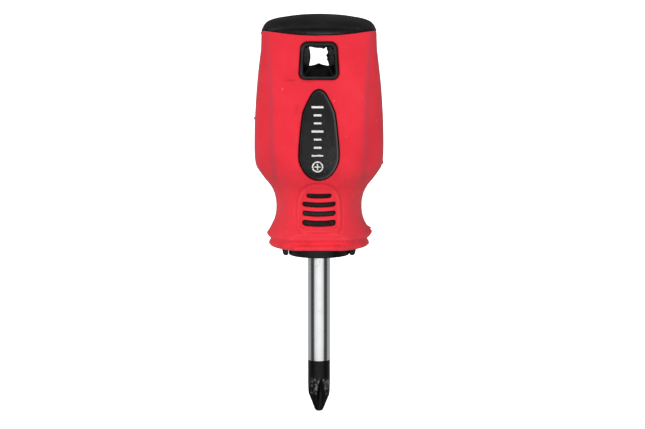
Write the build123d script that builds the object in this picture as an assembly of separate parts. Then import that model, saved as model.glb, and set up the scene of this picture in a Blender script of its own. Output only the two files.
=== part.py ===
from build123d import *
import os
import math

# Stubby cross-point screwdriver with a two-material handle.
# Millimetres. Origin: the point of the driving tip, on the tool's axis.
# +Z runs up the tool to the crown of the cap, -Y is the face with the label pad.

os.makedirs("parts", exist_ok=True)

# ------------------------------------------------------------ driving sizes
total_length = 98.8

# blade (one steel bar: driving tip, plain shank, torque wings in the handle)
shank_d = 5.5
black_tip_length = 12.9        # tip finish ends here, the plating starts
cone_start_z = 4.4             # end of the full diameter above the point
nose_r = 0.62                  # flat nose
nose_shoulder_r = 1.22
nose_shoulder_z = 0.75
flute_web_tip = 0.50           # half thickness of a driving wing at the nose
flute_web_top = 1.95           # the same where the flute runs out
flute_runout_z = 8.9
rib_half_width = 0.22          # small ribs between the driving wings
rib_height = 0.34
rib_runout_z = 4.2
tip_turn = 57.0                # the wings stand this far round from the diagonals
wing_z0, wing_z1 = 57.0, 66.0  # flattened wings that lock the bar in the handle
wing_half_span = 4.4
wing_half_thick = 0.9
blade_top_z = 79.0
seat_z = 39.2                  # the bar is a little thinner from here up,
seat_step = 0.30               # where the handle is moulded on it

# handle outline: half-width across the flats, by height
flat_profile = [
    (14.02, 96.5), (14.06, 94.3), (14.20, 90.4), (14.88, 84.5), (15.42, 78.6),
    (15.74, 72.6), (15.83, 67.0), (15.73, 63.9), (15.36, 61.75), (14.08, 59.75),
    (12.62, 57.8), (12.02, 56.7),
]
# handle outline: radius over the corners, then of the round neck and the rim
barrel_corner_r = 18.9
round_profile = [
    (18.82, 96.5), (18.9, 90.0), (18.9, 74.0), (18.85, 68.0), (18.45, 65.0),
    (17.45, 62.4), (15.75, 60.4), (13.75, 58.6), (12.05, 56.9), (11.05, 54.9),
    (10.56, 52.8), (10.50, 51.4), (10.62, 49.8), (11.20, 47.85), (12.02, 46.2),
    (12.52, 45.25),
]
rim_points = [                 # the two ridges at the foot of the grip
    (12.72, 44.75), (12.62, 44.2), (11.95, 43.6), (12.02, 43.25),
    (12.28, 42.6), (12.10, 41.95), (11.45, 41.5),
]
grip_bottom_z = 41.5
skin = 2.8                     # thickness of the soft grip over the core

# seam under the cap: part of a large ball, so it dips across each face
seam_ball_r = 75.0
seam_ball_z = 168.37
cap_lip = 0.14                 # the cap's edge stands this proud of the grip
cap_crown_r = 75.0
leg_x0, leg_x1, leg_half_y, leg_bottom_z = 7.0, 9.4, 3.0, 86.5

# hanging hole through the handle, front to back
win_z0, win_z1 = 84.0, 93.05
win_bottom_w, win_top_w = 9.9, 8.8
win_corner_r = 1.5
win_rim_w = 0.85
win_proud = 0.30
throat_z = 88.5
throat_half = 2.30             # half-width of the square throat
throat_land = 0.5              # half length of the straight throat

# label pad, a drop shape on the front and the back
drop = [
    (0.0, 81.8), (1.25, 81.25), (2.2, 79.9), (3.75, 76.8), (4.22, 74.7),
    (4.72, 70.3), (5.02, 65.8), (4.62, 63.5), (3.2, 61.2), (1.45, 59.75),
    (0.0, 59.35),
]
pad_sink = 0.22                # the pad's face lies this deep

# four slots in the neck, where the core shows
slots = [(55.4, 6.0, 1.1), (53.1, 8.0, 1.15), (50.85, 8.0, 1.15), (48.55, 8.0, 1.3)]

# collar of the core under the grip
flange_r = 9.1
disc_r = 7.4
collar_bottom_z = 39.45
lug_bottom_z = 39.3
lug_half_w = 2.0

print_thick = 0.06


# ------------------------------------------------------------ outline solids
def outline(off, z_top=96.5):
    """The handle's body between its foot and the cap, grown by off."""
    rim = [(r + off, z) for r, z in rim_points]
    rnd = [(r + off, z) for r, z in round_profile]
    with BuildPart() as body:
        with BuildSketch(Plane.XZ):
            with BuildLine():
                Spline(*rnd)
                Polyline(rnd[-1], *rim, (0, grip_bottom_z), (0, rnd[0][1]), rnd[0])
            make_face()
        revolve(axis=Axis.Z)
    round_body = body.part

    flat = [(a + off, z) for a, z in flat_profile]
    with BuildPart() as prism:
        with BuildSketch(Plane.XZ):
            with BuildLine():
                Spline(*flat)
                Polyline(flat[-1], (12.05 + off, 55.6), (19.0 + off, 50.0),
                         (19.0 + off, 38.0), (-19.0 - off, 38.0), (-19.0 - off, 50.0),
                         (-12.05 - off, 55.6), (-flat[-1][0], flat[-1][1]))
                Spline(*[(-a, z) for a, z in reversed(flat)])
                Line((-flat[0][0], flat[0][1]), flat[0])
            make_face()
        extrude(amount=25, both=True)
    across_x = prism.part
    across_y = across_x.rotate(Axis.Z, 90)
    return round_body & across_x & across_y


def drop_face(shrink=0.0):
    """The label pad's outline on the XZ plane."""
    zc = 68.5
    pts = []
    for x, z in drop:
        # the outline moves in by the shrink along its own normal, roughly
        k = 1.0 - shrink / 5.02 if x else 1.0
        zz = z
        if z > zc:
            zz = z - shrink * (z - zc) / (drop[0][1] - zc)
        else:
            zz = z + shrink * (zc - z) / (zc - drop[-1][1])
        pts.append((x * k, zz))
    loop = pts + [(-x, z) for x, z in reversed(pts[1:-1])]
    with BuildSketch(Plane.XZ) as s:
        with BuildLine():
            Spline(*loop, periodic=True)
        make_face()
    return s.sketch


def window_face(grow=0.0):
    """The frame of the hanging hole on the XZ plane, a little wider below."""
    hb = win_bottom_w / 2 + grow
    ht = win_top_w / 2 + grow
    z0, z1 = win_z0 - grow, win_z1 + grow
    with BuildSketch(Plane.XZ) as s:
        with BuildLine():
            Polyline((-hb, z0), (hb, z0), (ht, z1), (-ht, z1), close=True)
        make_face()
        fillet(s.vertices(), max(win_corner_r + grow, 0.45))
    return s.sketch


def slot_face(zc, width, height, grow=0.0):
    with BuildSketch(Plane.XZ) as s:
        with Locations((0, zc)):
            SlotOverall(width + 2 * grow, height + 2 * grow)
    return s.sketch


def through(face, depth=25.0):
    return extrude(face, amount=depth, both=True)


def front_half():
    return Pos(0, -20, 60) * Box(60, 40, 140)


# ------------------------------------------------------------ shared cutters
seam_ball = Pos(0, 0, seam_ball_z) * Sphere(seam_ball_r)
body_out = outline(0.0) - seam_ball
body_core = outline(-skin) - seam_ball

# ------------------------------------------------------------ blade
with BuildPart() as bar:
    with BuildSketch(Plane.XZ):
        with BuildLine():
            r = shank_d / 2
            Polyline((0, 0), (nose_r, 0), (nose_shoulder_r, nose_shoulder_z),
                     (r, cone_start_z), (r, seat_z), (r - seat_step, seat_z),
                     (r - seat_step, blade_top_z - 0.6), (r - 0.75, blade_top_z),
                     (0, blade_top_z), close=True)
        make_face()
    revolve(axis=Axis.Z)
blade = bar.part

slope = (flute_web_top - flute_web_tip) / flute_runout_z
z_lo, z_hi = -0.5, 10.5


def corner_square(z, far=6.0):
    c = flute_web_tip + slope * z
    side = far - c
    return Pos((far + c) / 2, (far + c) / 2, z) * Rectangle(side, side)


flute = loft([corner_square(z_lo), corner_square(z_hi)])


def rib_rect(z, extra):
    c = (flute_web_tip + slope * z) * math.sqrt(2)
    length = max(c + extra, 0.2)
    return Pos(length / 2, 0, z) * Rectangle(length, 2 * rib_half_width)


rib = loft([rib_rect(z_lo, rib_height), rib_rect(rib_runout_z + 1.4, -0.5)])
rib = rib.rotate(Axis.Z, 45)
flute = flute - rib
for i in range(4):
    blade = blade - flute.rotate(Axis.Z, 45 + tip_turn + 90 * i)

wings = Pos(0, 0, (wing_z0 + wing_z1) / 2) * Box(
    2 * wing_half_span, 2 * wing_half_thick, wing_z1 - wing_z0)
wings = chamfer(wings.edges().filter_by(Axis.Y), 1.0)
blade = blade + wings

# ------------------------------------------------------------ hanging hole
# the pad's face and the slot bars follow the front face at a constant depth
def face_block(sink, z0, z1):
    """A bar along X, bounded front and back by the sunk front face."""
    ys = [(r - sink, z) for r, z in face_curve if z0 - 6 <= z <= z1 + 6]
    zt, zb = ys[0][1], ys[-1][1]
    with BuildPart() as p:
        with BuildSketch(Plane.YZ):
            with BuildLine():
                Spline(*ys)
                Line(ys[-1], (-ys[-1][0], zb))
                Spline(*[(-y, z) for y, z in reversed(ys)])
                Line((-ys[0][0], zt), ys[0])
            make_face()
        extrude(amount=12, both=True)
    return p.part


face_curve = [
    (14.02, 96.5), (14.06, 94.3), (14.20, 90.4), (14.88, 84.5), (15.42, 78.6), (15.74, 72.6), (15.83, 67.0),
    (15.73, 63.9), (15.36, 61.75), (14.08, 59.75), (12.62, 57.8), (11.98, 56.7),
    (11.05, 54.9), (10.56, 52.8), (10.50, 51.4), (10.62, 49.8), (11.20, 47.85),
    (12.02, 46.2),
]


# each mouth narrows to the square throat as one straight funnel
win_block = through(window_face()) & face_block(-win_proud, 84.0, 93.0)
funnel_depth = 16.5
hole = Pos(0, 0, throat_z) * Box(2 * throat_half, 4.0, 2 * throat_half)
for side in (-1, 1):
    with BuildSketch(Plane.XZ.offset(-side * funnel_depth)) as m:
        with BuildLine():
            hb = win_bottom_w / 2 - win_rim_w
            ht = win_top_w / 2 - win_rim_w
            z0, z1 = win_z0 + win_rim_w, win_z1 - win_rim_w
            Polyline((-hb, z0), (hb, z0), (ht, z1), (-ht, z1), close=True)
        make_face()
    with BuildSketch(Plane.XZ.offset(-side * throat_land)) as t:
        with BuildLine():
            a = throat_half
            Polyline((-a, throat_z - a), (a, throat_z - a), (a, throat_z + a),
                     (-a, throat_z + a), close=True)
        make_face()
    hole = hole + loft([t.sketch, m.sketch])

# ------------------------------------------------------------ core
pads = through(drop_face()) & face_block(pad_sink, 59.0, 82.0)
slot_ring = revolve(
    Plane.XZ * make_face(Polyline((0, 47.4), (10.9, 47.4), (10.35, 48.7),
                                  (10.12, 50.2), (10.08, 51.6), (10.2, 53.2),
                                  (10.62, 54.9), (11.2, 56.2), (0, 56.2), (0, 47.4))),
    axis=Axis.Z)
slot_bars = None
for zc, w, h in slots:
    bar_i = through(slot_face(zc, w, h)) & slot_ring
    slot_bars = bar_i if slot_bars is None else slot_bars + bar_i

collar = Pos(0, 0, (collar_bottom_z + 44.5) / 2) * Cylinder(disc_r, 44.5 - collar_bottom_z)
flange = Pos(0, 0, (grip_bottom_z + 44.5) / 2) * Cylinder(flange_r, 44.5 - grip_bottom_z)
lug_bar = Pos(0, 0, (lug_bottom_z + grip_bottom_z) / 2) * Box(
    40, 2 * lug_half_w, grip_bottom_z - lug_bottom_z)
lugs = lug_bar & (Pos(0, 0, 40.5) * Cylinder(flange_r, 4))
lugs = lugs - (Pos(0, 0, 40.5) * Cylinder(disc_r - 0.4, 6))

core = body_core + win_block
core = core + pads
core = core + slot_bars
core = core + flange + collar + lugs
core = core - seam_ball
core = core - hole
core = core - blade

cap_legs = None
for s in (-1, 1):
    leg = Pos(s * (leg_x0 + leg_x1) / 2, 0, (leg_bottom_z + 95.5) / 2) * Box(
        leg_x1 - leg_x0, 2 * leg_half_y, 95.5 - leg_bottom_z)
    cap_legs = leg if cap_legs is None else cap_legs + leg
core = core - cap_legs

# ------------------------------------------------------------ grip
grip = body_out - body_core
grip = grip - through(window_face())
grip = grip - through(drop_face())
for zc, w, h in slots:
    grip = grip - through(slot_face(zc, w, h))
grip = grip - (flange + collar)

# ------------------------------------------------------------ cap
# walls that lean in to a soft shoulder, under one large crown
cap_half = 14.06 + cap_lip
cap_wall = [
    (cap_half, 92.5), (cap_half, 94.75), (cap_half - 0.55, 95.5),
    (cap_half - 1.05, 96.4), (cap_half - 1.95, 97.2), (cap_half - 3.3, 97.8),
]
corner = barrel_corner_r + cap_lip
corner_wall = [
    (corner, 92.5), (corner, 95.75), (corner - 0.5, 96.3), (corner - 1.6, 96.85),
]
with BuildPart() as cap_prism:
    with BuildSketch(Plane.XZ):
        with BuildLine():
            Polyline(*cap_wall, (8.0, 99.6), (-8.0, 99.6),
                     *[(-x, z) for x, z in reversed(cap_wall)], close=True)
        make_face()
    extrude(amount=25, both=True)
with BuildPart() as cap_round:
    with BuildSketch(Plane.XZ):
        with BuildLine():
            Polyline((0, 92.5), *corner_wall, (10.0, 99.8), (0, 99.8), close=True)
        make_face()
    revolve(axis=Axis.Z)
crown = Pos(0, 0, total_length - cap_crown_r) * Sphere(cap_crown_r)
cap_body = cap_round.part & cap_prism.part & cap_prism.part.rotate(Axis.Z, 90) & crown
cap = (cap_body & seam_ball) + cap_legs

# ------------------------------------------------------------ printed mark
ring = Pos(0, 0, 0) * (Circle(1.4) - Circle(1.0))
marks = Plane.XZ * (Pos(-0.35, 62.9) * ring)
marks = marks + Plane.XZ * (Pos(-0.35, 62.9) * Rectangle(1.5, 0.32))
marks = marks + Plane.XZ * (Pos(-0.35, 62.9) * Rectangle(0.32, 1.5))
for k in range(7):
    marks = marks + Plane.XZ * (Pos(-0.35, 65.7 + 1.95 * k) * Rectangle(
        2.9 if k % 3 == 0 else 1.9, 0.54))
film = extrude(marks, amount=25, both=True)
film = film & (face_block(pad_sink - print_thick, 59.0, 82.0)
               - face_block(pad_sink, 59.0, 82.0)) & front_half()
printed = film

# ------------------------------------------------------------ write
nodes = {
    "blade": blade,
    "handle_core": core,
    "grip_sleeve": grip,
    "end_cap": cap,
    "printed_mark": printed,
}
for name, shape in nodes.items():
    shape.label = name
    export_step(shape, f"parts/{name}.step")
    bb = shape.bounding_box()
    print(name, "solids", len(shape.solids()), "volume", round(shape.volume, 2),
          "size", [round(v, 2) for v in (bb.min.X, bb.min.Y, bb.min.Z,
                                         bb.max.X, bb.max.Y, bb.max.Z)])
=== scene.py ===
import bpy
import math
import numpy as np
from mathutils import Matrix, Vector


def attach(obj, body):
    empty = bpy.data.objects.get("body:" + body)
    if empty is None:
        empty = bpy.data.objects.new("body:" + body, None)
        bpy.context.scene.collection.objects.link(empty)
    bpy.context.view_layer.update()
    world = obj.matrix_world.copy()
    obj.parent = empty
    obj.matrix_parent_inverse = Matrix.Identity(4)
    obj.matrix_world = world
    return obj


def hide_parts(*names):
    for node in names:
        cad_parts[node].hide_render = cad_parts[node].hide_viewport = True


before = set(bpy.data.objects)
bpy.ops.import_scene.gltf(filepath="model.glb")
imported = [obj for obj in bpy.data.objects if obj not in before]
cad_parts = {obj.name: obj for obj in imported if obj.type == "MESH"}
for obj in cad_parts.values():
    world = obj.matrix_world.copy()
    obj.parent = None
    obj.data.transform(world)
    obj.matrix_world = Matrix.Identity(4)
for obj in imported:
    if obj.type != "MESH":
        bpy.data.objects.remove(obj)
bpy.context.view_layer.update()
scene = bpy.context.scene
MM = 0.001

# ---------------------------------------------------------------- profiles (mm)


def curve(points):
    """A smooth curve value(z) through (value, z) points, as a fine table."""
    p = sorted((z, v) for v, z in points)
    z = np.array([a for a, _ in p])
    v = np.array([b for _, b in p])
    d = np.diff(v) / np.diff(z)
    m = np.zeros(len(z))
    m[0], m[-1] = d[0], d[-1]
    for i in range(1, len(z) - 1):
        if d[i - 1] * d[i] > 0:
            h0, h1 = z[i] - z[i - 1], z[i + 1] - z[i]
            w0, w1 = 2 * h1 + h0, h1 + 2 * h0
            m[i] = (w0 + w1) / (w0 / d[i - 1] + w1 / d[i])
    zz = np.arange(z[0], z[-1] + 0.02, 0.02)
    i = np.clip(np.searchsorted(z, zz, side="right") - 1, 0, len(z) - 2)
    h = z[i + 1] - z[i]
    t = np.clip((zz - z[i]) / h, 0, 1)
    vv = ((2 * t**3 - 3 * t**2 + 1) * v[i] + (t**3 - 2 * t**2 + t) * h * m[i]
          + (-2 * t**3 + 3 * t**2) * v[i + 1] + (t**3 - t**2) * h * m[i + 1])
    k = np.ones(9) / 9
    vs = np.convolve(np.pad(vv, 4, mode="edge"), k, mode="valid")
    return lambda q: np.interp(q, zz, vs)


flat_a = curve([
    (14.02, 96.5), (14.06, 94.3), (14.20, 90.4), (14.43, 88.4), (14.88, 84.5),
    (15.27, 80.5), (15.54, 76.6), (15.74, 72.6), (15.83, 67.0), (15.76, 64.4),
    (15.62, 63.0), (15.36, 61.75), (14.72, 60.76), (14.06, 59.76), (13.33, 58.77),
    (12.62, 57.8), (12.02, 56.7), (12.4, 55.4), (15.0, 52.5), (19.0, 50.0), (19.0, 38.0),
])
round_r = curve([
    (18.82, 96.5), (18.9, 90.0), (18.9, 74.0), (18.8, 68.5), (18.35, 65.5),
    (17.45, 62.9), (15.95, 60.6), (13.95, 58.6), (12.12, 56.85), (11.46, 55.8), (11.02, 54.8),
    (10.74, 53.8), (10.56, 52.8), (10.50, 51.6), (10.55, 50.4), (10.85, 48.8), (11.22, 47.8),
    (11.72, 46.8), (12.22, 45.8), (12.55, 45.2), (12.72, 44.75), (12.62, 44.35),
    (12.15, 43.9), (11.88, 43.5), (12.0, 43.15), (12.24, 42.75), (12.27, 42.35), (12.05, 41.9),
    (11.6, 41.5), (11.3, 41.2), (11.3, 38.0),
])
rim_a = curve([
    (13.6, 50.5), (12.45, 48.0), (11.62, 46.4), (11.05, 45.4), (10.76, 44.85), (10.62, 44.4),
    (10.20, 43.95), (9.95, 43.5), (10.16, 43.15), (10.62, 42.75), (10.80, 42.35), (10.70, 41.95),
    (10.30, 41.5), (10.0, 38.0),
])
cap_a = curve([
    (14.20, 92.0), (14.20, 94.3), (14.14, 94.75), (13.86, 95.28), (13.52, 95.77), (13.20, 96.26),
    (12.72, 96.75), (12.08, 97.24), (11.2, 97.7), (9.6, 98.15), (7.0, 98.75), (2.0, 99.6), (0.5, 101.0),
])
cap_r = curve([
    (18.98, 92.0), (18.98, 95.2), (18.75, 95.75), (18.2, 96.3), (17.2, 96.85), (15.6, 97.4),
    (13.0, 98.2), (8.0, 99.8), (2.0, 101.0),
])
BALL_R, BALL_Z = 75.0, 168.37
CROWN_R, TOP = 62.0, 98.8


def smax(a, b, k):
    h = np.clip(k - np.abs(a - b), 0, None) / k
    return np.maximum(a, b) + h * h * k * 0.25


def smin(a, b, k):
    return -smax(-a, -b, k)


def bump(d, w):
    return np.exp(-(d / w) ** 2)


def slope_of(fn, z):
    return (fn(z + 0.1) - fn(z - 0.1)) / 0.2


# ---------------------------------------------------------------- plane outlines


def dense(points, n=16):
    """A closed smooth loop through the points."""
    p = np.array(points, float)
    m = (np.roll(p, -1, 0) - np.roll(p, 1, 0)) / 2
    out = []
    for i in range(len(p)):
        a, b, ma, mb = p[i], p[(i + 1) % len(p)], m[i], m[(i + 1) % len(p)]
        for t in np.arange(n) / n:
            out.append((2 * t**3 - 3 * t**2 + 1) * a + (t**3 - 2 * t**2 + t) * ma
                       + (-2 * t**3 + 3 * t**2) * b + (t**3 - t**2) * mb)
    return np.array(out)


def loop_table(loop, lo, hi, h=0.08):
    """Signed distance to a closed loop, on a table, as a function of x and z."""
    xs = np.arange(lo[0], hi[0] + h, h)
    zs = np.arange(lo[1], hi[1] + h, h)
    gx, gz = np.meshgrid(xs, zs, indexing="ij")
    px, pz = gx.ravel(), gz.ravel()
    best = np.full(px.shape, 1e9)
    inside = np.zeros(px.shape, bool)
    n = len(loop)
    for i in range(n):
        ax, az = loop[i]
        bx, bz = loop[(i + 1) % n]
        ex, ez = bx - ax, bz - az
        t = np.clip(((px - ax) * ex + (pz - az) * ez) / (ex * ex + ez * ez + 1e-12), 0, 1)
        best = np.minimum(best, (px - ax - t * ex) ** 2 + (pz - az - t * ez) ** 2)
        hit = ((az > pz) != (bz > pz)) & (px < (bx - ax) * (pz - az) / (bz - az + 1e-12) + ax)
        inside ^= hit
    d = np.sqrt(best) * np.where(inside, -1, 1)
    tab = d.reshape(gx.shape)

    def value(x, z):
        fx = np.clip((x - xs[0]) / h, 0, len(xs) - 1.001)
        fz = np.clip((z - zs[0]) / h, 0, len(zs) - 1.001)
        i, j = fx.astype(int), fz.astype(int)
        u, v = fx - i, fz - j
        return ((tab[i, j] * (1 - u) + tab[i + 1, j] * u) * (1 - v)
                + (tab[i, j + 1] * (1 - u) + tab[i + 1, j + 1] * u) * v)
    return value


drop_half = [
    (0.0, 81.8), (1.35, 81.2), (2.25, 79.9), (3.75, 76.8), (4.22, 74.7),
    (4.72, 70.3), (5.0, 65.8), (4.62, 63.4), (3.25, 61.0), (1.6, 59.7), (0.0, 59.35),
]
drop_loop = dense(drop_half + [(-x, z) for x, z in reversed(drop_half[1:-1])])
drop2 = loop_table(drop_loop, (-9, 54), (9, 87))

arch_half = [
    (0.0, 57.9), (2.2, 57.5), (3.8, 56.3), (4.7, 54.4), (5.0, 51.5), (5.05, 49.0), (4.6, 47.3),
    (2.6, 46.75), (0.0, 46.65),
]
arch_loop = dense(arch_half + [(-x, z) for x, z in reversed(arch_half[1:-1])])
arch2 = loop_table(arch_loop, (-9, 42), (9, 63))


def window2(x, z):
    """Rounded frame outline of the hanging hole, a little wider below."""
    t = np.clip((z - 84.0) / 9.05, -0.3, 1.3)
    half = 4.95 - 0.55 * t
    r = 1.7
    qx = np.abs(x) - (half - r)
    qz = np.abs(z - 88.55) - (4.55 - r)
    return (np.sqrt(np.maximum(qx, 0) ** 2 + np.maximum(qz, 0) ** 2)
            + np.minimum(np.maximum(qx, qz), 0) - r)


def slot2(x, z, zc, w, h):
    zz = z - zc - 0.014 * x * x
    qx = np.abs(x) - (w / 2 - h / 2)
    return np.sqrt(np.maximum(qx, 0) ** 2 + zz**2) - h / 2


SLOTS = [(55.27, 6.1, 1.16), (53.02, 8.1, 1.22), (50.77, 8.1, 1.24), (48.46, 8.2, 1.40)]


def slots2(x, z):
    d = None
    for s in SLOTS:
        e = slot2(x, z, *s)
        d = e if d is None else np.minimum(d, e)
    return d


# ---------------------------------------------------------------- body fields


def ripple(x, y, z, s, seed):
    """Slow unevenness of a moulded surface, from a few fixed waves."""
    r = np.random.RandomState(seed)
    out = 0
    for _ in range(7):
        k = r.normal(size=3) * s
        out = out + np.sin(k[0] * x + k[1] * y + k[2] * z + r.uniform(0, 6.28))
    return out / 7


def outer(x, y, z):
    """Distance-like field of the handle's outside, without its details."""
    a, rr = flat_a(z), round_r(z)
    sa, sr = slope_of(flat_a, z), slope_of(round_r, z)
    na, nr = np.sqrt(1 + sa * sa), np.sqrt(1 + sr * sr)
    crown = 0.0016
    fx = (np.abs(x) + crown * y * y - a) / na
    fy = (np.abs(y) + crown * x * x - a) / na
    r = np.sqrt(x * x + y * y)
    fr = (r - rr) / nr
    s = np.clip((z - 57.2) / 5.0, 0, 1)
    d = smax(smax(fx, fy, 0.6), fr, 0.20 + 1.0 * s * s * (3 - 2 * s))
    # a flat facet with an arched top on the front and back of the rim
    sf = slope_of(rim_a, z)
    facet = (np.abs(y) - rim_a(z)) / np.sqrt(1 + sf * sf)
    d = smax(d, np.where(z < 50.5, facet, -5.0), 0.12)
    return d


NICKS = [
    (-15.62, 0.0, 73.2, 0.30, 0.42), (15.45, 0.2, 62.15, 0.38, 0.55), (15.3, -0.2, 62.7, 0.3, 0.25),
    (12.35, 0.0, 46.05, 0.24, 1.15), (12.55, 0.1, 45.35, 0.42, 0.42), (12.75, 0.0, 44.9, 0.5, 0.3),
    (12.0, 0.1, 46.4, 0.3, 0.2), (-12.6, 0.0, 45.0, 0.55, 0.12), (-12.2, 0.2, 42.2, 0.4, 0.14),
    (12.2, 0.0, 42.0, 0.5, 0.16), (-14.1, 0.0, 94.2, 0.35, 0.22),
]


def skin_detail(x, y, z, d):
    """The grip's raised and sunk details, front and back."""
    face = (np.abs(y) > 4) & (np.abs(x) < 9)
    rise = np.zeros_like(d)
    # padded border of the slot panel: a bead at its sides, a crease over the arch
    p = arch2(x, z)
    side = np.clip((np.abs(x) - 3.4) / 1.4, 0, 1)
    rise = rise + 0.40 * bump(p + 0.02, 0.36) * (0.20 + 0.80 * side)
    rise = rise - 0.34 * bump(p - 0.62, 0.30) * (1 - 0.4 * side)
    rise = rise - 0.24 * bump(p + 0.72, 0.34) * side
    # soft raised lip round the label pad
    q = drop2(x, z)
    rise = rise + 0.10 * bump(q - 0.45, 0.45)
    rise = np.where(face, rise, 0)
    out = d - rise
    out = out - 0.035 * ripple(x, y, z, 0.55, 3) - 0.012 * ripple(x, y, z, 2.3, 5)
    # uneven rim
    rim = np.exp(-((z - 43.6) / 1.9) ** 2)
    out = out - 0.07 * rim * ripple(x, y, z, 1.3, 8)
    for nx, ny, nz, w, h in NICKS:
        out = out - h * np.exp(-(((x - nx) / 0.9) ** 2 + ((y - ny) / (w * 1.1)) ** 2 + ((z - nz) / w) ** 2))
    # raised parting line round the sides
    out = out - 0.05 * bump(y, 0.22) * (np.abs(x) > 9)
    # a shallow cut left of the hole's foot, and scratches on the right
    cut = np.exp(-((x + 6.9) / 0.95) ** 2 - ((z - 83.9 - 0.05 * (x + 6.9)) / 0.13) ** 2)
    out = out + 0.16 * cut * (y < 0)
    for sx, sz, ang, ln in ((9.4, 87.0, 0.9, 1.1), (10.3, 83.2, 1.1, 0.9), (10.6, 84.4, 1.9, 0.6), (-8.0, 77.6, 0.3, 0.3)):
        u = (x - sx) * math.cos(ang) + (z - sz) * math.sin(ang)
        v = -(x - sx) * math.sin(ang) + (z - sz) * math.cos(ang)
        out = out + 0.06 * np.exp(-(u / ln) ** 2 - (v / 0.12) ** 2) * (y < 0)
    return out


def seam(x, y, z, wob=0.0):
    """Above zero below the seam's ball."""
    d = BALL_R - np.sqrt(x * x + y * y + (z - BALL_Z) ** 2)
    return d + wob


def core_body(x, y, z):
    return outer(x, y, z) + 2.85


def hole(x, y, z):
    """The hanging hole: two funnels that meet in a throat with inward-bulging sides."""
    ay = np.abs(y)
    t = np.clip((ay - 0.6) / 15.2, 0, 1.25) ** 0.9
    k = np.clip((z - 88.45) / 4.0, -1, 1)
    # throat half sizes and mouth half sizes
    hx = 2.28 + (3.78 - 0.26 * k - 2.28) * t
    hz_up = 2.28 + (3.72 - 2.28) * t
    hz_dn = 2.28 + (3.62 - 2.28) * t
    dz = z - 88.45
    hz = np.where(dz > 0, hz_up, hz_dn)
    star = (1 - np.clip(t * 3.2, 0, 1))
    bulge_x = 0.42 * (np.clip(1 - (dz / 2.3) ** 2, 0, 1)) * star
    bulge_z = 0.42 * (np.clip(1 - (x / 2.3) ** 2, 0, 1)) * star
    hump = 0.30 * np.exp(-((x + 0.05) / 0.55) ** 2) * (dz < 0) * star
    # rough flash left on the right and in the upper right corner
    fl = star * ((x > 0) * (0.34 * np.exp(-((dz - 0.2) / 0.33) ** 2) + 0.24 * np.exp(-((dz + 0.75) / 0.25) ** 2)
                            + 0.5 * np.exp(-((dz - 1.9) / 0.5) ** 2)))
    fz = star * ((dz > 0) * 0.32 * np.exp(-((x - 1.15) / 0.42) ** 2))
    fx2 = (np.abs(x) - (hx + 0.20 * star - bulge_x - fl))
    fz2 = (np.abs(dz) - (hz + 0.16 * star - bulge_z - hump - fz))
    return smax(fx2, fz2, 0.5 + 0.9 * np.clip(t, 0, 1)) * 0.96


def f_grip(x, y, z):
    d0 = outer(x, y, z)
    d = skin_detail(x, y, z, d0)
    f = smax(d, seam(x, y, z, 0.03 + 0.03 * ripple(x, y, z, 1.1, 12)), 0.45)
    f = smax(f, 41.62 + 0.10 * bump(x, 7.0) - z, 0.35)
    inner = smin(core_body(x, y, z), np.maximum(np.sqrt(x * x + y * y) - 9.15, z - 43.4), 0.2)
    f = np.maximum(f, -(inner - 0.02))
    f = smax(f, -(window2(x, z) - 0.03), 0.28)
    f = smax(f, -(np.maximum(drop2(x, z), 4 - np.abs(y)) - 0.0), 0.22)
    f = smax(f, -(np.maximum(slots2(x, z), 4 - np.abs(y))), 0.22)
    return f


def pad_sink(x, z):
    q = -drop2(x, z)
    rim = bump(q - 0.45, 0.26)
    return 0.30 - 0.24 * rim


def f_core(x, y, z):
    d0 = outer(x, y, z)
    r = np.sqrt(x * x + y * y)
    body = d0 + 2.87
    w = window2(x, z)
    # proud frame with a rounded rim
    edge = -w
    rim = 0.30 * np.clip(1 - ((edge - 0.55) / 0.75) ** 2, -1.2, 1)
    frame_f = smax(w + 0.02, d0 - rim, 0.35)
    pad = smax(drop2(x, z) + 0.14, d0 + pad_sink(x, z) + 0.004 * ripple(x, y, z, 3.1, 2), 0.18)
    bars = smax(slots2(x, z) + 0.02, d0 + 0.34, 0.12)
    keep = 7.0 - np.abs(y)
    f = np.minimum(body, frame_f)
    f = np.minimum(f, np.maximum(pad, keep))
    f = np.minimum(f, np.maximum(bars, keep))
    f = np.maximum(f, 44.0 - z)
    # collar below the grip: a disc and two lugs
    flange = smax(r - 9.1, np.maximum(41.56 - z, z - 45), 0.2)
    disc = smax(r - 7.5, np.maximum(39.40 - z, z - 45), 0.30)
    lug = smax(np.maximum(r - 9.15 - 0.22 * (z - 40.6), 7.75 - r), np.abs(y) - 1.9, 0.3)
    lug = smax(lug, 39.3 - z, 0.45)
    lug = np.maximum(lug, z - 43)
    f = smin(f, flange, 0.15)
    f = smin(f, disc, 0.15)
    f = smin(f, lug, 0.2)
    f = np.maximum(f, seam(x, y, z, 0.06))
    f = np.maximum(f, -np.maximum(r - 2.77, z - 79.05))
    f = smax(f, -hole(x, y, z), 0.22)
    for s in (-1, 1):
        leg = np.maximum(np.maximum(np.abs(x - s * 8.2) - 1.22, np.abs(y) - 3.02), 86.4 - z)
        f = np.maximum(f, -leg)
    return f


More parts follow.
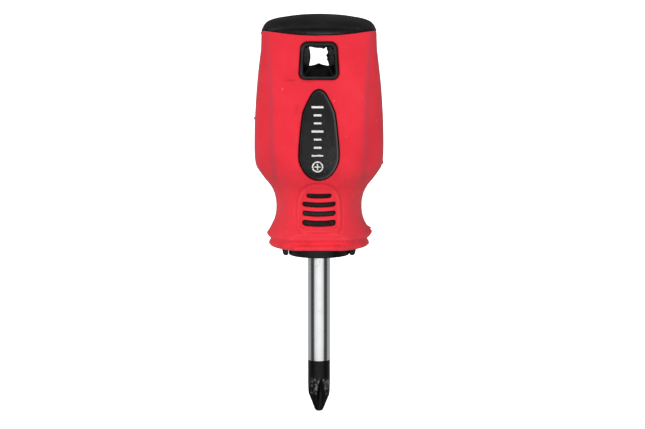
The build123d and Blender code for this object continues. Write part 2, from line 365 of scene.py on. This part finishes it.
def f_cap(x, y, z):
    a, rr = cap_a(z), cap_r(z)
    na = np.sqrt(1 + slope_of(cap_a, z) ** 2)
    nr = np.sqrt(1 + slope_of(cap_r, z) ** 2)
    fx = (np.abs(x) + 0.0016 * y * y - a) / na
    fy = (np.abs(y) + 0.0016 * x * x - a) / na
    r = np.sqrt(x * x + y * y)
    d = smax(smax(fx, fy, 1.2), (r - rr) / nr, 1.4)
    crown = np.sqrt(x * x + y * y + (z - TOP + CROWN_R) ** 2) - CROWN_R
    d = smax(d, crown, 1.1)
    d = d - 0.03 * ripple(x, y, z, 0.9, 21) - 0.014 * ripple(x, y, z, 2.6, 22)
    wob = 0.05 * ripple(x, y, z, 1.7, 25)
    s = -(BALL_R - np.sqrt(x * x + y * y + (z - BALL_Z) ** 2)) + 0.03 + wob
    f = smax(d, s, 0.30)
    for q in (-1, 1):
        leg = np.maximum(np.maximum(np.abs(x - q * 8.2) - 1.18, np.abs(y) - 2.98),
                         np.maximum(86.5 - z, z - 96.0))
        f = np.minimum(f, leg)
    return f


def f_tip(x, y, z):
    """The driving tip: cone and nose, four flutes, a small rib in each flute."""
    r = np.sqrt(x * x + y * y)
    rz = np.interp(z, [-0.3, 0.0, 0.3, 0.8, 4.2, 4.9, 20.0], [0.2, 0.72, 1.0, 1.24, 2.66, 2.75, 2.75])
    body = smax((r - rz) * 0.93, -z, 0.25)
    body = smax(body, z - 12.9, 0.05)
    f = body
    for i in range(4):
        ang = math.radians(45 + 57 + 90 * i)
        # u runs out along the flute's middle, v across it
        u = x * math.cos(ang) + y * math.sin(ang)
        v = -x * math.sin(ang) + y * math.cos(ang)
        depth = np.interp(z, [-1, 0, 2.0, 4.4, 6.2, 7.6, 8.6, 9.3, 10.5], [0.78, 0.78, 1.0, 1.42, 1.82, 2.2, 2.55, 2.85, 3.6])
        cut = (depth + np.abs(v) * 0.94 - u) * 0.72
        rib = np.maximum(np.abs(v) - 0.22, u - (depth + 0.42 - 0.05 * z))
        cut = np.maximum(cut, -np.where(z < 5.0, rib, 1.0))
        f = smax(f, -cut, 0.10)
    f = f - 0.018 * ripple(x, y, z, 4.5, 31)
    return f


# ---------------------------------------------------------------- mesher


def net(name, f, lo, hi, h, steps=3):
    """A closed quad mesh of the surface f = 0, its points pulled onto the surface."""
    ax = [np.arange(lo[i], hi[i] + h, h) for i in range(3)]
    n = [len(a) for a in ax]
    F = np.empty(n, np.float32)
    gx, gy = np.meshgrid(ax[0], ax[1], indexing="ij")
    slab = 24
    for k in range(0, n[2], slab):
        zz = ax[2][k:k + slab]
        X = np.repeat(gx[:, :, None], len(zz), 2)
        Y = np.repeat(gy[:, :, None], len(zz), 2)
        Z = np.broadcast_to(zz, X.shape) + 0.0
        F[:, :, k:k + slab] = f(X, Y, Z)
    ins = F < 0
    c = np.zeros([m - 1 for m in n], np.int8)
    for i in (0, 1):
        for j in (0, 1):
            for k in (0, 1):
                c += ins[i:n[0] - 1 + i, j:n[1] - 1 + j, k:n[2] - 1 + k]
    ci, cj, ck = np.nonzero((c > 0) & (c < 8))
    index = np.full(c.shape, -1, np.int32)
    index[ci, cj, ck] = np.arange(len(ci))
    corner = {}
    for i in (0, 1):
        for j in (0, 1):
            for k in (0, 1):
                corner[i, j, k] = F[ci + i, cj + j, ck + k].astype(float)
    tot = np.zeros((len(ci), 3))
    cnt = np.zeros(len(ci))
    for a in corner:
        for axis in range(3):
            if a[axis]:
                continue
            b = list(a)
            b[axis] = 1
            va, vb = corner[a], corner[tuple(b)]
            x = (va < 0) != (vb < 0)
            t = np.where(x, va / np.where(np.abs(va - vb) < 1e-12, 1, va - vb), 0)
            pos = np.tile(np.array(a, float), (len(ci), 1))
            pos[:, axis] = t
            tot += pos * x[:, None]
            cnt += x
    P = np.stack([ci, cj, ck], 1) + tot / cnt[:, None]
    V = np.array(lo, float) + P * h
    e = 0.03
    for _ in range(steps):
        x, y, z = V.T
        v = f(x, y, z)
        g = np.stack([f(x + e, y, z) - f(x - e, y, z), f(x, y + e, z) - f(x, y - e, z),
                      f(x, y, z + e) - f(x, y, z - e)], 1) / (2 * e)
        g2 = np.maximum((g * g).sum(1), 0.15)
        st = -(v / g2)[:, None] * g
        ln = np.sqrt((st * st).sum(1))
        st *= np.minimum(1, 0.4 * h / np.maximum(ln, 1e-9))[:, None]
        V = V + st * 0.9
    quads = []
    for axis in range(3):
        o = [0, 1, 2]
        u, w = [q for q in o if q != axis]
        sa, sb = [slice(None)] * 3, [slice(None)] * 3
        sa[axis], sb[axis] = slice(0, n[axis] - 1), slice(1, n[axis])
        A, B = ins[tuple(sa)], ins[tuple(sb)]
        idx = np.argwhere(A != B)
        ok = ((idx[:, u] > 0) & (idx[:, w] > 0) & (idx[:, u] < n[u] - 1) & (idx[:, w] < n[w] - 1))
        idx = idx[ok]
        was = A[tuple(idx.T)]
        q = []
        for du, dw in ((-1, -1), (0, -1), (0, 0), (-1, 0)):
            t = idx.copy()
            t[:, u] += du
            t[:, w] += dw
            q.append(index[tuple(t.T)])
        q = np.stack(q, 1)
        flip = was if axis != 1 else ~was
        q[~flip] = q[~flip][:, ::-1]
        quads.append(q)
    Q = np.concatenate(quads)
    Q = Q[(Q >= 0).all(1)]
    me = bpy.data.meshes.new(name)
    me.vertices.add(len(V))
    me.vertices.foreach_set("co", (V * MM).astype(np.float32).ravel())
    me.loops.add(len(Q) * 4)
    me.loops.foreach_set("vertex_index", Q.astype(np.int32).ravel())
    me.polygons.add(len(Q))
    me.polygons.foreach_set("loop_start", np.arange(0, len(Q) * 4, 4, dtype=np.int32))
    me.polygons.foreach_set("use_smooth", np.ones(len(Q), bool))
    me.update(calc_edges=True)
    me.validate()
    ob = bpy.data.objects.new(name, me)
    scene.collection.objects.link(ob)
    print(name, len(V), "points", len(Q), "quads")
    return ob


def lathe(name, prof, seg=96):
    """A turned solid from (radius, z) points in mm, closed on the axis."""
    verts, faces = [], []
    for r, z in prof:
        for s in range(seg):
            t = 2 * math.pi * s / seg
            verts.append((r * math.cos(t) * MM, r * math.sin(t) * MM, z * MM))
    for i in range(len(prof) - 1):
        for s in range(seg):
            a, b = i * seg + s, i * seg + (s + 1) % seg
            faces.append((a, b, b + seg, a + seg))
    faces.append(tuple(range(seg))[::-1])
    last = (len(prof) - 1) * seg
    faces.append(tuple(range(last, last + seg)))
    me = bpy.data.meshes.new(name)
    me.from_pydata(verts, [], faces)
    for p in me.polygons:
        p.use_smooth = len(p.vertices) == 4
    me.update()
    ob = bpy.data.objects.new(name, me)
    scene.collection.objects.link(ob)
    return ob


# ---------------------------------------------------------------- materials


class Mat:
    def __init__(self, name):
        self.m = bpy.data.materials.new(name)
        self.m.use_nodes = True
        self.t = self.m.node_tree
        self.b = self.t.nodes["Principled BSDF"]
        self.co = self.t.nodes.new("ShaderNodeTexCoord").outputs["Object"]

    def node(self, kind, **kw):
        n = self.t.nodes.new(kind)
        for k, v in kw.items():
            setattr(n, k, v)
        return n

    def link(self, a, b):
        self.t.links.new(a, b)

    def noise(self, scale, detail=4.0, rough=0.55, stretch=None, distortion=0.0):
        src = self.co
        if stretch:
            mp = self.node("ShaderNodeMapping")
            mp.inputs["Scale"].default_value = stretch
            self.link(src, mp.inputs["Vector"])
            src = mp.outputs["Vector"]
        n = self.node("ShaderNodeTexNoise")
        n.inputs["Scale"].default_value = scale
        n.inputs["Detail"].default_value = detail
        n.inputs["Roughness"].default_value = rough
        n.inputs["Distortion"].default_value = distortion
        self.link(src, n.inputs["Vector"])
        return n.outputs["Fac"]

    def ramp(self, fac, stops):
        r = self.node("ShaderNodeValToRGB")
        el = r.color_ramp.elements
        while len(el) < len(stops):
            el.new(0.5)
        for e, (p, c) in zip(el, stops):
            e.position = p
            e.color = (*c, 1) if len(c) == 3 else c
        self.link(fac, r.inputs["Fac"])
        return r.outputs["Color"]

    def grey(self, fac, a, b, lo=0.0, hi=1.0):
        n = self.node("ShaderNodeMapRange")
        n.inputs["From Min"].default_value = a
        n.inputs["From Max"].default_value = b
        n.inputs["To Min"].default_value = lo
        n.inputs["To Max"].default_value = hi
        self.link(fac, n.inputs["Value"])
        return n.outputs["Result"]

    def carried(self, name):
        """A value stored on the mesh, point by point."""
        return self.node("ShaderNodeAttribute", attribute_name=name).outputs["Fac"]

    def mix(self, fac, a, b, mode="MIX"):
        n = self.node("ShaderNodeMix", data_type="RGBA", blend_type=mode)
        for sock, v in ((n.inputs["Factor"], fac), (n.inputs[6], a), (n.inputs[7], b)):
            if hasattr(v, "is_linked"):
                self.link(v, sock)
            elif isinstance(v, tuple):
                sock.default_value = (*v, 1)
            else:
                sock.default_value = v
        return n.outputs[2]

    def math(self, op, a, b=None):
        n = self.node("ShaderNodeMath", operation=op)
        for i, v in enumerate((a, b)):
            if v is None:
                continue
            if hasattr(v, "is_linked"):
                self.link(v, n.inputs[i])
            else:
                n.inputs[i].default_value = v
        return n.outputs[0]

    def xyz(self):
        n = self.node("ShaderNodeSeparateXYZ")
        self.link(self.co, n.inputs[0])
        return n.outputs

    def bump(self, height, strength, distance, under=None):
        n = self.node("ShaderNodeBump")
        n.inputs["Strength"].default_value = strength
        n.inputs["Distance"].default_value = distance
        self.link(height, n.inputs["Height"])
        if under is not None:
            self.link(under, n.inputs["Normal"])
        return n.outputs["Normal"]


def red_rubber():
    m = Mat("red_grip")
    x, y, z = m.xyz()
    big = m.noise(90, 3, 0.5)
    fine = m.noise(2600, 2, 0.6)
    base = m.ramp(big, [(0.30, (0.800, 0.015, 0.034)), (0.55, (0.880, 0.019, 0.042)),
                        (0.75, (0.940, 0.027, 0.050))])
    # dull paler bloom in broad patches
    bloom = m.grey(m.noise(210, 5, 0.6), 0.52, 0.78, 0.0, 0.20)
    base = m.mix(bloom, base, (0.84, 0.050, 0.080))
    # painted shade along the facet edges, painted shade in the creases, painted highlight on the high spots
    edge_shade = m.math("MULTIPLY", m.carried("edge"), m.grey(m.noise(260, 4, 0.6, stretch=(1, 1, 0.12)), 0.3, 0.7, 0.55, 1.0))
    base = m.mix(edge_shade, base, (0.60, 0.034, 0.062))
    # painted shade: darker red where the crease mask is set
    crease_shade = m.math("MULTIPLY", m.carried("crease"), m.grey(m.noise(500, 4, 0.6), 0.3, 0.7, 0.5, 0.95))
    base = m.mix(crease_shade, base, (0.46, 0.006, 0.016))
    # painted highlight: paler red where the ridge mask is set
    base = m.mix(m.math("MULTIPLY", m.carried("ridge_highlight"), 0.60), base, (0.98, 0.085, 0.105))
    # painted light: brighter red low down, standing in for light reaching the neck and rim from below
    base = m.mix(m.grey(z, 0.060, 0.048, 0.0, 0.75), base, (0.99, 0.034, 0.060), "MIX")
    # grime near the foot, darker red
    low = m.grey(z, 0.0465, 0.0418, 0.0, 1.0)
    dirt = m.math("MULTIPLY", low, m.grey(m.noise(420, 5, 0.65), 0.46, 0.70, 0.0, 0.55))
    base = m.mix(dirt, base, (0.42, 0.012, 0.018))
    # sparse pale scratches
    sc = m.math("MULTIPLY", m.math("MULTIPLY", m.grey(x, 0.0075, 0.0095, 0.0, 1.0), m.grey(y, -0.0118, -0.0132, 0.0, 1.0)), m.grey(m.noise(900, 2, 0.5, stretch=(1.0, 1.0, 0.16), distortion=0.6), 0.700, 0.73, 0.0, 0.65))
    base = m.mix(sc, base, (0.88, 0.30, 0.32))
    spk = m.grey(m.noise(1500, 1, 0.4), 0.80, 0.83, 0.0, 0.8)
    base = m.mix(spk, base, (0.9, 0.45, 0.46))
    m.link(base, m.b.inputs["Base Color"])
    m.link(m.grey(m.noise(330, 4, 0.6), 0.3, 0.7, 0.46, 0.62), m.b.inputs["Roughness"])
    m.b.inputs["Specular IOR Level"].default_value = 0.45
    m.b.inputs["Sheen Weight"].default_value = 0.04
    m.b.inputs["Sheen Roughness"].default_value = 0.5
    m.b.inputs["Subsurface Weight"].default_value = 0.0
    n = m.bump(fine, 0.16, 0.00006)
    n = m.bump(m.noise(480, 4, 0.6), 0.18, 0.00016, n)
    m.link(n, m.b.inputs["Normal"])
    return m.m


def black_plastic(name, mottle, rough_lo, rough_hi, spec):
    m = Mat(name)
    a = m.noise(260, 6, 0.62)
    b = m.noise(70, 3, 0.5)
    base = m.ramp(a, [(0.32, (0.0030, 0.0030, 0.0032)), (0.55, (0.0055, 0.0055, 0.0058)),
                      (0.78, (0.0055 + mottle, 0.0055 + mottle, 0.0058 + mottle))])
    scuff = m.grey(m.noise(700, 4, 0.7, stretch=(1.0, 1.0, 0.5)), 0.62, 0.74, 0.0, 0.45)
    base = m.mix(scuff, base, (0.040, 0.040, 0.042))
    # painted highlight: paler patches where the pad mask is set
    painted_highlight = m.math("MULTIPLY", m.carried("pad"), m.grey(m.noise(1900, 3, 0.75), 0.40, 0.66, 0.10, 0.75))
    base = m.mix(painted_highlight, base, (0.050, 0.050, 0.051))
    # painted highlight: pale thin lines where the line mask is set
    base = m.mix(m.math("MULTIPLY", m.carried("line"), 0.85), base, (0.105, 0.105, 0.107))
    m.link(base, m.b.inputs["Base Color"])
    m.link(m.grey(b, 0.3, 0.7, rough_lo, rough_hi), m.b.inputs["Roughness"])
    m.b.inputs["Specular IOR Level"].default_value = spec
    n = m.bump(m.noise(2400, 2, 0.6), 0.22, 0.00006)
    n = m.bump(m.noise(520, 5, 0.65), 0.22, 0.00014, n)
    m.link(n, m.b.inputs["Normal"])
    return m.m


def plated_steel():
    m = Mat("bright_plating")
    x, y, z = m.xyz()
    streak = m.noise(700, 4, 0.6, stretch=(1.0, 1.0, 0.06))
    base = m.ramp(streak, [(0.3, (0.74, 0.75, 0.77)), (0.7, (0.86, 0.87, 0.88))])
    top = m.grey(z, 0.0345, 0.0395, 0.0, 1.0)
    spots = m.math("MULTIPLY", top, m.grey(m.noise(900, 4, 0.6), 0.5, 0.66, 0.0, 0.55))
    base = m.mix(spots, base, (0.42, 0.42, 0.44))
    m.link(base, m.b.inputs["Base Color"])
    m.b.inputs["Metallic"].default_value = 1.0
    m.link(m.grey(m.noise(500, 4, 0.6), 0.3, 0.7, 0.10, 0.20), m.b.inputs["Roughness"])
    m.link(m.bump(m.noise(1600, 3, 0.6, stretch=(1, 1, 0.3)), 0.05, 0.00004), m.b.inputs["Normal"])
    return m.m


def black_steel():
    m = Mat("black_tip")
    x, y, z = m.xyz()
    r = m.math("SQRT", m.math("ADD", m.math("MULTIPLY", x, x), m.math("MULTIPLY", y, y)))
    base = m.ramp(m.noise(800, 5, 0.65), [(0.35, (0.002, 0.002, 0.002)), (0.62, (0.005, 0.005, 0.005)),
                                          (0.8, (0.022, 0.022, 0.023))])
    # finish rubbed through on the outer edges of the driving wings
    low = m.grey(z, 0.0088, 0.0080, 0.0, 1.0)
    rim = m.grey(r, 0.00262, 0.00274, 0.0, 1.0)
    rub = m.math("MULTIPLY", m.math("MULTIPLY", low, rim), m.grey(m.noise(1100, 3, 0.6), 0.50, 0.62, 0.0, 0.8))
    low2 = m.grey(z, 0.0046, 0.0032, 0.0, 1.0)
    rub2 = m.math("MULTIPLY", low2, m.grey(m.noise(1500, 4, 0.7), 0.68, 0.74, 0.0, 0.05))
    rubs = m.math("MAXIMUM", rub, rub2)
    base = m.mix(rubs, base, (0.30, 0.30, 0.31))
    m.link(base, m.b.inputs["Base Color"])
    m.link(m.grey(rubs, 0.0, 1.0, 0.0, 0.9), m.b.inputs["Metallic"])
    m.b.inputs["Specular IOR Level"].default_value = 0.30
    m.link(m.grey(m.noise(600, 4, 0.6), 0.3, 0.7, 0.30, 0.46), m.b.inputs["Roughness"])
    n = m.bump(m.noise(2600, 4, 0.7), 0.30, 0.00005)
    m.link(n, m.b.inputs["Normal"])
    return m.m


def white_ink():
    m = Mat("white_ink")
    base = m.ramp(m.noise(1400, 4, 0.6), [(0.3, (0.70, 0.70, 0.69)), (0.6, (0.86, 0.86, 0.85))])
    m.link(base, m.b.inputs["Base Color"])
    m.link(m.grey(m.noise(900, 3), 0.3, 0.7, 0.45, 0.6), m.b.inputs["Roughness"])
    m.link(m.bump(m.noise(3000, 2), 0.15, 0.00003), m.b.inputs["Normal"])
    return m.m


# ---------------------------------------------------------------- pieces


def place(ob, slot, mat, *nodes):
    ob.data.materials.append(mat)
    if nodes:
        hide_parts(*nodes)
    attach(ob, "root")
    return ob


def carry(ob, name, values):
    """Store one value per point on the mesh, for the material to read."""
    at = ob.data.attributes.new(name, "FLOAT", "POINT")
    at.data.foreach_set("value", np.clip(values, 0, 1).astype(np.float32))


def points_mm(ob):
    co = np.empty(len(ob.data.vertices) * 3, np.float32)
    ob.data.vertices.foreach_get("co", co)
    c = co.reshape(-1, 3).astype(float) * 1000.0
    return c[:, 0], c[:, 1], c[:, 2]


# painted light and shade for the grip, stored per point: shade in creases and along edges, highlight on ridges
def grip_light_and_shade(ob):
    x, y, z = points_mm(ob)
    face = (np.abs(y) > 6) & (np.abs(x) < 9)
    a, q, w = arch2(x, z), drop2(x, z), window2(x, z)
    side = np.clip((np.abs(x) - 3.0) / 1.4, 0, 1)
    low = np.clip((48.5 - z) / 1.0, 0, 1)
    # painted shade: darker in the slot panel's creases, the rim grooves, round the label pad and the hole, in the
    # shallow cut and at small spots on the front
    crease = face * (0.60 * bump(a - 0.60, 0.34) * (1 - 0.35 * side) + 0.35 * bump(a + 0.72, 0.3) * side)
    crease = crease + 0.90 * bump(z - 43.52, 0.28) + 0.25 * bump(z - 46.9, 0.5) * face * (1 - low * 0)
    crease = crease + 0.45 * face * bump(q - 0.10, 0.22) + 0.35 * face * bump(w - 0.10, 0.25)
    front = y < 0
    crease = crease + front * 0.95 * np.exp(-((x + 6.9) / 1.2) ** 2 - ((z - 83.85 - 0.05 * (x + 6.9)) / 0.24) ** 2)
    crease = crease + front * 0.8 * np.exp(-((x + 2.4) / 0.9) ** 2 - ((z - 83.55) / 0.25) ** 2)
    crease = crease + front * 0.6 * np.exp(-((x + 6.5) / 3.0) ** 2 - ((z - 44.1) / 0.4) ** 2)
    crease = crease + front * 0.35 * np.exp(-((x + 5.3) / 0.5) ** 2 - ((z - 77.0) / 1.2) ** 2)
    band = 44.75 + 1.9 * np.clip(1 - (x / 6.8) ** 2, 0, 1)
    # painted highlight on the slot panel's side beads, the arched band on the rim's front and the rim ridge
    ridge_highlight = face * 0.9 * bump(a + 0.02, 0.34) * side
    ridge_highlight = ridge_highlight + 0.7 * face * (np.abs(x) < 7.2) * bump(z - band, 0.34) + 0.35 * bump(z - 44.75, 0.25)
    # painted shade: a darker band along the soft edges of the flats and along the neck's sides
    edge = bump(np.abs(x) - np.interp(z, [57, 66, 80, 96], [10.6, 11.3, 11.6, 12.6]), 0.75) * (np.abs(y) > 6)
    edge = edge * np.clip((z - 55.0) / 5.0, 0, 1) * 0.85
    edge = edge + 0.55 * bump(np.abs(x) - 8.3, 0.9) * (np.abs(y) > 5) * np.clip((57.0 - z) / 5.0, 0, 1) * (z > 44)
    carry(ob, "crease", crease)
    carry(ob, "ridge_highlight", ridge_highlight)
    carry(ob, "edge", edge)


def core_highlights(ob):
    x, y, z = points_mm(ob)
    q, w = drop2(x, z), window2(x, z)
    face = np.abs(y) > 8
    # painted reflection: the label pad paler low down and to the right, and the lower slot bars paler
    pad = face * np.clip(-(q + 0.55) / 0.5, 0, 1) * np.clip((76.0 - z) / 14.0, 0.06, 1) * np.clip(0.55 + x / 7.0, 0.25, 1)
    # painted highlight: a pale line just inside the label pad's rim, stronger to the right, and round the hole frame's
    # rim
    line = face * bump(q + 0.50, 0.20) * np.clip((x + 1.5) / 4.5, 0.12, 1) * (q < 0)
    lip = face * (np.abs(w + 0.55) < 0.45) * bump(w + 0.55, 0.20) * 0.22
    carry(ob, "pad", pad + 0.6 * face * (z < 51.6) * (z > 47.0) * (slots2(x, z) < -0.2))
    carry(ob, "line", line + lip)


def cap_highlights(ob):
    x, y, z = points_mm(ob)
    d = BALL_R - np.sqrt(x * x + y * y + (z - BALL_Z) ** 2)
    # painted highlights: a band just above the front seam, a patch on the top right, and a band along the shoulder on
    # both sides
    near = bump(d - 0.55, 0.40) * (y < -8) * np.clip(1.15 - np.abs(x) / 9.0, 0, 1)
    top = np.exp(-((x - 3.2) / 5.5) ** 2 - ((y + 3.0) / 7.0) ** 2) * (z > 97.0)
    carry(ob, "pad", near + 0.9 * top + 0.35 * bump(z - 96.3, 0.7) * (np.abs(x) > 9))
    # painted highlight: a thin line along the front seam
    carry(ob, "line", bump(d - 0.35, 0.20) * (y < -6) * np.clip(1 - np.abs(x - 1.0) / 5.0, 0, 1) * 0.5)


H = 0.24
core_mat = black_plastic("black_core", 0.020, 0.36, 0.50, 0.38)
cap_mat = black_plastic("black_cap", 0.016, 0.34, 0.52, 0.24)

grip = net("grip_sleeve_soft", f_grip, (-16.6, -16.6, 40.6), (16.6, 16.6, 96.6), H)
place(grip, "grip", red_rubber(), "grip_sleeve")
grip_light_and_shade(grip)
core = net("handle_core_black", f_core, (-14.0, -16.4, 38.6), (14.0, 16.4, 96.0), H)
place(core, "core", core_mat, "handle_core")
core_highlights(core)
cap = net("end_cap_dome", f_cap, (-15.0, -15.0, 86.0), (15.0, 15.0, 99.6), H)
place(cap, "cap", cap_mat, "end_cap")
cap_highlights(cap)

tip = net("blade_tip_black", f_tip, (-3.1, -3.1, -0.3), (3.1, 3.1, 13.3), 0.11)
place(tip, "blade", black_steel(), "blade")
shank = lathe("blade_shank_plated", [(2.66, 12.86), (2.74, 12.92), (2.75, 13.0), (2.75, 20.0), (2.75, 30.0),
                                     (2.75, 39.0), (2.75, 56.0), (2.75, 78.4), (2.15, 79.0)])
place(shank, "blade", plated_steel(), "blade")

# generic print: a ring with a plain cross, then evenly spaced bars
PX = -0.35


def marks2(x, z):
    u, v = x - PX, z - 62.95
    r = np.sqrt(u * u + v * v)
    d = np.abs(r - 1.2) - 0.19
    cross = np.minimum(np.maximum(np.abs(u) - 0.75, np.abs(v) - 0.16),
                       np.maximum(np.abs(v) - 0.75, np.abs(u) - 0.16))
    d = np.minimum(d, cross)
    for k in range(7):
        w = 1.45 if k % 3 == 0 else 0.95
        d = np.minimum(d, np.maximum(np.abs(u) - w, np.abs(z - 65.7 - 1.95 * k) - 0.27))
    return d


def f_print(x, y, z):
    face = outer(x, y, z) + pad_sink(x, z)
    return smax(marks2(x, z), np.abs(face - 0.01) - 0.045, 0.03)


ink = net("printed_mark_white", f_print, (-2.3, -16.2, 61.0), (1.5, -14.4, 78.4), 0.09)
place(ink, "print", white_ink(), "printed_mark")

# ---------------------------------------------------------------- stage and light
fl = bpy.data.meshes.new("floor")
s = 40.0
fl.from_pydata([(-s, -s, 0), (s, -s, 0), (s, s, 0), (-s, s, 0)], [], [(0, 1, 2, 3)])
floor = bpy.data.objects.new("floor", fl)
scene.collection.objects.link(floor)
fm = bpy.data.materials.new("pale_floor")
fm.use_nodes = True
fb = fm.node_tree.nodes["Principled BSDF"]
fb.inputs["Base Color"].default_value = (0.93, 0.93, 0.93, 1)
fb.inputs["Roughness"].default_value = 0.9
fb.inputs["Specular IOR Level"].default_value = 0.1
fb.inputs["Emission Color"].default_value = (1, 1, 1, 1)
fb.inputs["Emission Strength"].default_value = 0.95
fl.materials.append(fm)
floor.visible_glossy = False
floor.visible_diffuse = False

world = bpy.data.worlds.new("studio")
scene.world = world
world.use_nodes = True
wt = world.node_tree
bg = wt.nodes["Background"]
tc = wt.nodes.new("ShaderNodeTexCoord")
sep = wt.nodes.new("ShaderNodeSeparateXYZ")
wt.links.new(tc.outputs["Generated"], sep.inputs[0])


def wmath(op, a, b=None):
    n = wt.nodes.new("ShaderNodeMath")
    n.operation = op
    for i, v in enumerate((a, b)):
        if v is None:
            continue
        if isinstance(v, (int, float)):
            n.inputs[i].default_value = v
        else:
            wt.links.new(v, n.inputs[i])
    return n.outputs[0]


dx, dy, dz = sep.outputs
flatlen = wmath("SQRT", wmath("ADD", wmath("MULTIPLY", dx, dx), wmath("ADD", wmath("MULTIPLY", dy, dy), 1e-6)))
cosf = wmath("MULTIPLY", wmath("DIVIDE", dy, flatlen), -1.0)
half = wmath("ADD", wmath("MULTIPLY", cosf, 0.5), 0.5)
ring = wt.nodes.new("ShaderNodeValToRGB")
stops = [(0.0, 0.42), (0.30, 0.42), (0.42, 0.36), (0.53, 0.06), (0.77, 0.06), (0.87, 0.85), (1.0, 1.20)]
el = ring.color_ramp.elements
while len(el) < len(stops):
    el.new(0.5)
for e, (p, v) in zip(el, stops):
    e.position = p
    e.color = (v, v, v, 1)
wt.links.new(half, ring.inputs["Fac"])
# the ceiling is bright all round
up = wt.nodes.new("ShaderNodeMapRange")
up.inputs["From Min"].default_value = 0.35
up.inputs["From Max"].default_value = 0.75
wt.links.new(dz, up.inputs["Value"])
mixw = wt.nodes.new("ShaderNodeMix")
mixw.data_type = "RGBA"
wt.links.new(up.outputs["Result"], mixw.inputs["Factor"])
wt.links.new(ring.outputs["Color"], mixw.inputs[6])
mixw.inputs[7].default_value = (0.50, 0.50, 0.50, 1)
# the front is brightest below the horizon, as over a white table
low = wt.nodes.new("ShaderNodeValToRGB")
lel = low.color_ramp.elements
lstops = [(0.0, 0.30), (0.27, 0.35), (0.36, 0.95), (0.46, 1.0), (0.52, 0.24), (1.0, 0.24)]
while len(lel) < len(lstops):
    lel.new(0.5)
for e, (p, v) in zip(lel, lstops):
    e.position = p
    e.color = (v, v, v, 1)
wt.links.new(wmath("ADD", wmath("MULTIPLY", dz, 0.5), 0.5), low.inputs["Fac"])
dim = wt.nodes.new("ShaderNodeMix")
dim.data_type = "RGBA"
dim.blend_type = "MULTIPLY"
dim.inputs["Factor"].default_value = 1.0
wt.links.new(mixw.outputs[2], dim.inputs[6])
wt.links.new(low.outputs["Color"], dim.inputs[7])
lp = wt.nodes.new("ShaderNodeLightPath")
soft_mix = wt.nodes.new("ShaderNodeMix")
soft_mix.data_type = "RGBA"
wt.links.new(lp.outputs["Is Diffuse Ray"], soft_mix.inputs["Factor"])
wt.links.new(dim.outputs[2], soft_mix.inputs[6])
soft_mix.inputs[7].default_value = (0.57, 0.57, 0.57, 1)
cam_mix = wt.nodes.new("ShaderNodeMix")
cam_mix.data_type = "RGBA"
wt.links.new(lp.outputs["Is Camera Ray"], cam_mix.inputs["Factor"])
wt.links.new(soft_mix.outputs[2], cam_mix.inputs[6])
cam_mix.inputs[7].default_value = (1.0, 1.0, 1.0, 1)
wt.links.new(cam_mix.outputs[2], bg.inputs["Color"])
bg.inputs["Strength"].default_value = 1.0


def area(name, loc, target, size, power, size_y=None):
    d = bpy.data.lights.new(name, "AREA")
    d.energy = power
    d.size = size
    if size_y:
        d.shape = "RECTANGLE"
        d.size_y = size_y
    o = bpy.data.objects.new(name, d)
    scene.collection.objects.link(o)
    o.location = loc
    o.rotation_euler = (Vector(target) - Vector(loc)).to_track_quat("-Z", "Y").to_euler()
    return o


key = area("key_left", (-0.20, -1.00, 0.08), (0, 0, 0.05), 0.40, 7.2)
key.visible_glossy = False
area("top_soft", (-0.25, 0.10, 1.1), (0, 0, 0.05), 0.6, 1.6)

# ---------------------------------------------------------------- camera
tilt = math.radians(7.8)
dist = 0.716
target = Vector((0, 0, 0.0499))
cd = bpy.data.cameras.new("camera")
cam = bpy.data.objects.new("camera", cd)
scene.collection.objects.link(cam)
cam.location = target + Vector((0, -math.cos(tilt), math.sin(tilt))) * dist
cam.rotation_euler = (target - cam.location).to_track_quat("-Z", "Y").to_euler()
cd.sensor_width = 36.0
cd.lens = 161.8
cd.shift_x = 0.0054
cd.shift_y = -0.0039
cd.clip_end = 200
cd.clip_start = 0.01
scene.camera = cam
scene.view_settings.view_transform = "Standard"
